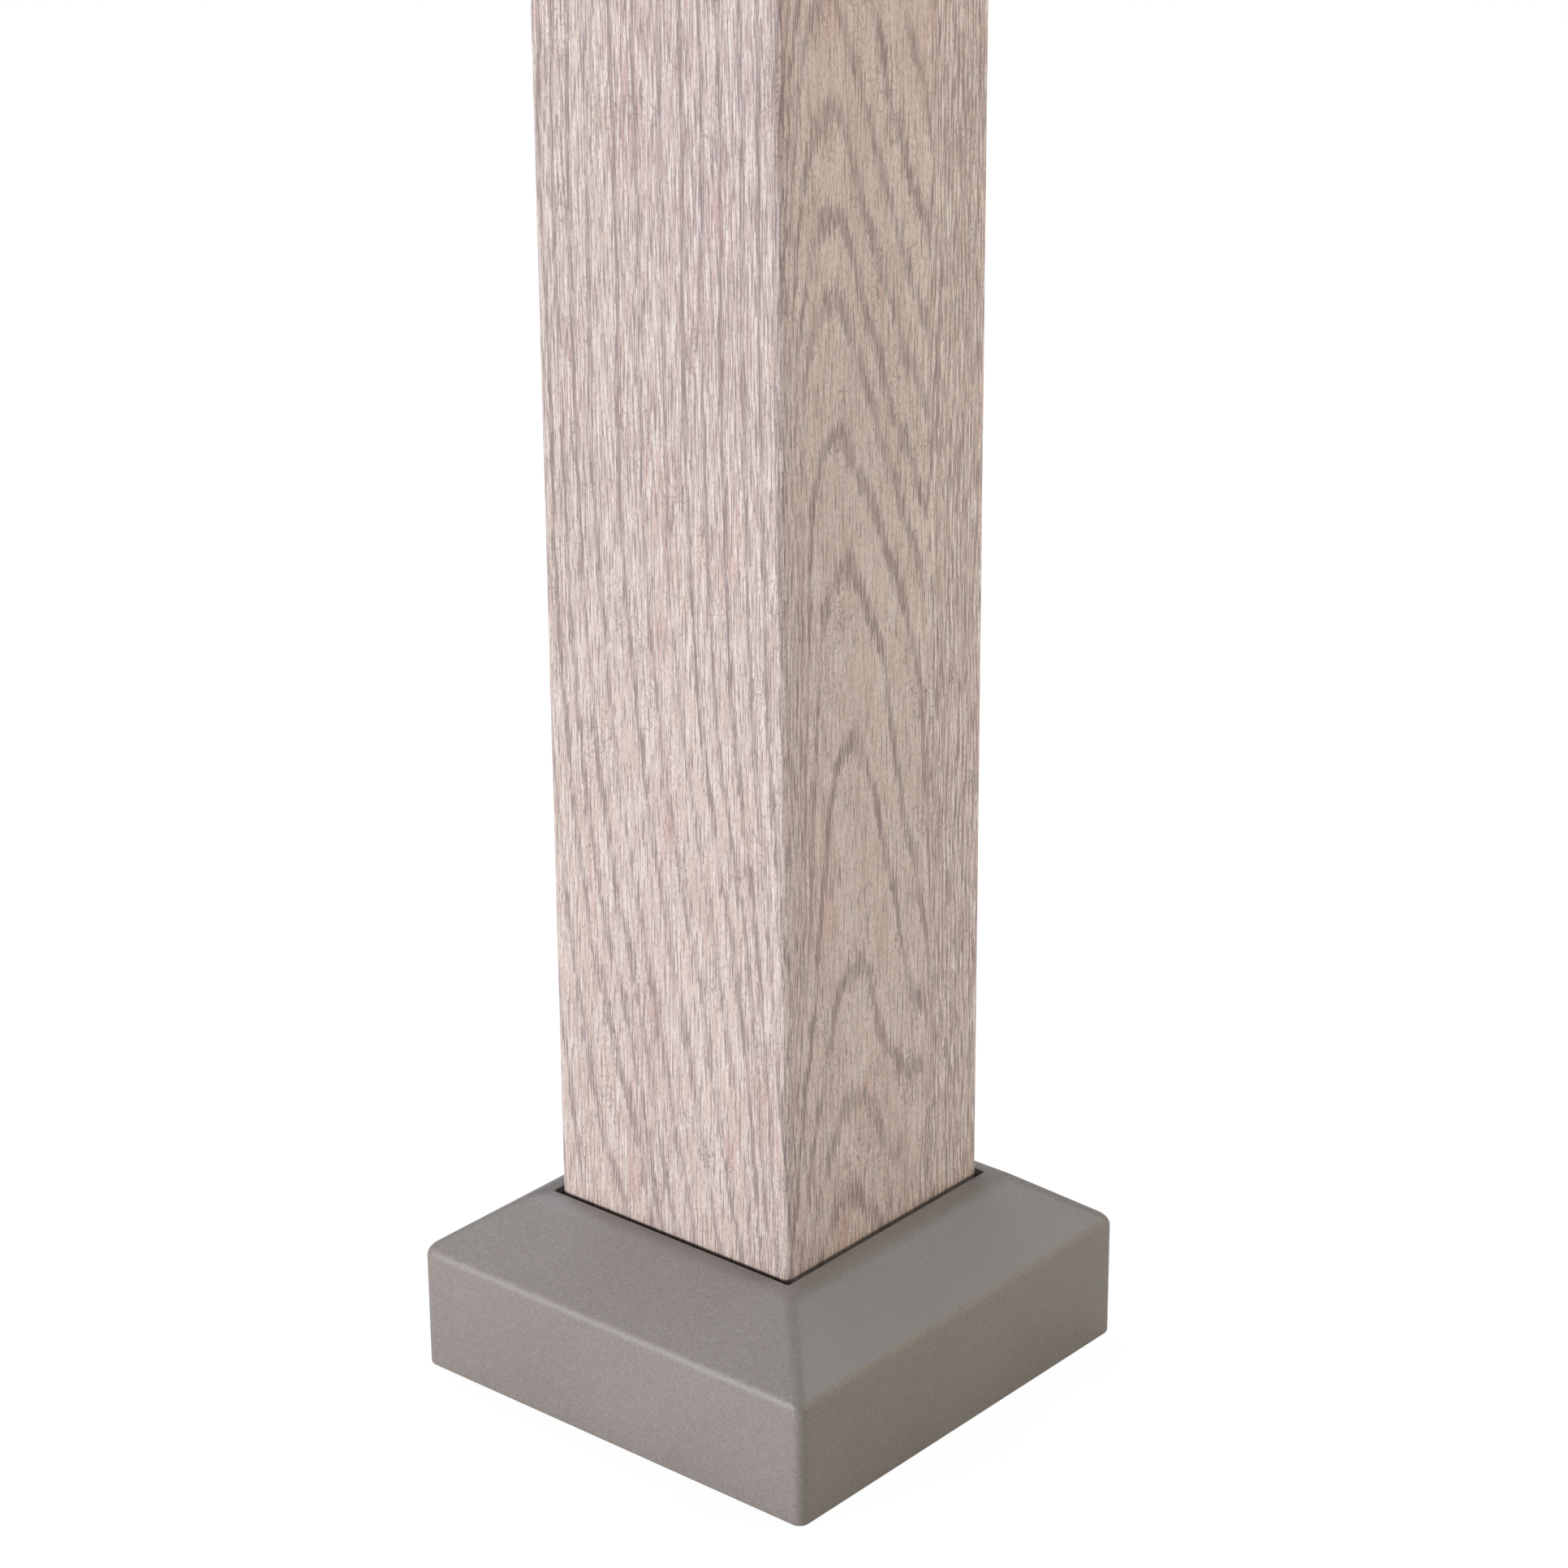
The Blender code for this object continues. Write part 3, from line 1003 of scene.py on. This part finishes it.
def cover_rings():
    """Every ring of the shell, from the opening over the roof, round the foot and back inside."""
    bottom = level_ring(opening_half, roof - SHELL, OPENING_RADIUS)
    rings = [bottom]
    lip = roof_ring(opening_half + LIP_RADIUS)
    for step in range(ARC_STEPS // 2):
        turn = math.pi / 2 * step / (ARC_STEPS // 2)
        half_width = opening_half + LIP_RADIUS * (1 - math.cos(turn))
        radius = OPENING_RADIUS + LIP_RADIUS * (1 - math.cos(turn))
        plan = rounded_square(half_width, radius, SIDE_STEPS, COVER_CORNER_STEPS)
        lowered = LIP_RADIUS * (1 - math.sin(turn))
        rings.append([(x, y, top[2] - lowered) for (x, y), top in zip(plan, lip)])
    rings.append(lip)
    for half_width, height in outer_path:
        on_the_roof = height > WALL_TOP - SHOULDER_RADIUS / 2 and half_width < COVER_HALF - 0.01 * MM
        if on_the_roof:
            if half_width > opening_half + 2 * LIP_RADIUS:
                rings.append(roof_ring(half_width))
        else:
            rings.append(level_ring(half_width, height, PLAN_RADIUS - (COVER_HALF - half_width)))
    for half_width, height in inner_path:
        if half_width > opening_half:
            inwards = min(COVER_HALF - half_width, SHELL)
            rings.append(level_ring(half_width, height, PLAN_RADIUS - inwards))
    return rings


def cover_form():
    """The rings joined one to the next, and the last one to the first: a closed shell."""
    bm = bmesh.new()
    rings = [[bm.verts.new(point) for point in ring] for ring in cover_rings()]
    for ring, following in zip(rings, rings[1:] + rings[:1]):
        for here in range(len(ring)):
            there = (here + 1) % len(ring)
            face = bm.faces.new((ring[here], ring[there], following[there], following[here]))
            face.smooth = True
    bmesh.ops.recalc_face_normals(bm, faces=bm.faces)
    sharpen(bm)
    return bm


cover_piece = piece_from(cover_form(), "moulded_cover")
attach(cover_piece, "root")
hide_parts("base_cover")
print("cover", len(cover_piece.data.polygons), "faces")

# %% [markdown]
# ## The cover's plastic: moulded ASA
#
# Outdoor covers like this are moulded in ASA, a tough plastic that keeps its colour in the sun. The mould's
# walls are spark eroded, which leaves a fine even texture of tiny pits on the plastic. It takes the shine
# off, so the highlights on the rounds are soft, and close to, the surface looks speckled. The real pits are
# about 0.2 mm across. They are drawn at 0.5 mm so that they show, with a faint cloudiness of some
# centimetres that such parts have where the melt cooled unevenly.

# %% Mix the plastic
TAUPE = linear("#8B837E")
TAUPE_LIGHT = linear("#968E88")
TAUPE_DARK = linear("#807873")
PIT_MM = 0.5
PIT_DEPTH_MM = 0.1
CLOUD_MM = 24.0
CLOUD_SHARE = 0.2

asa, tree, shader = new_material("ASA, taupe, moulded with a spark-eroded texture")
places = add_node(tree, "ShaderNodeTexCoord")
pits = add_node(
    tree,
    "ShaderNodeTexNoise",
    None,
    {"Vector": places.outputs["Object"], "Scale": 0.5 / (PIT_MM * MM), "Detail": 2.0, "Roughness": 0.6},
)
clouds = add_node(
    tree,
    "ShaderNodeTexNoise",
    None,
    {"Vector": places.outputs["Object"], "Scale": 0.5 / (CLOUD_MM * MM), "Detail": 2.0},
)
mixed = add_node(
    tree,
    "ShaderNodeMix",
    {"data_type": "FLOAT"},
    {"Factor": CLOUD_SHARE, NUMBER_A: pits.outputs["Fac"], NUMBER_B: clouds.outputs["Fac"]},
)
tones = add_node(tree, "ShaderNodeValToRGB", None, {"Fac": mixed.outputs[0]})
ramp = tones.color_ramp
ramp.elements[0].position, ramp.elements[0].color = 0.30, TAUPE_DARK
ramp.elements[1].position, ramp.elements[1].color = 0.70, TAUPE_LIGHT
ramp.elements.new(0.5).color = TAUPE
dull = add_node(
    tree, "ShaderNodeMapRange", None, {"Value": pits.outputs["Fac"], 1: 0.3, 2: 0.7, 3: 0.40, 4: 0.52}
)
texture = add_node(
    tree,
    "ShaderNodeBump",
    None,
    {"Strength": 0.9, "Distance": PIT_DEPTH_MM * MM, "Height": pits.outputs["Fac"]},
)
tree.links.new(tones.outputs["Color"], shader.inputs["Base Color"])
tree.links.new(dull.outputs[0], shader.inputs["Roughness"])
tree.links.new(texture.outputs["Normal"], shader.inputs["Normal"])
shader.inputs["IOR"].default_value = 1.52
cover_piece.data.materials.append(asa)
print("plastic:", len(tree.nodes), "nodes")
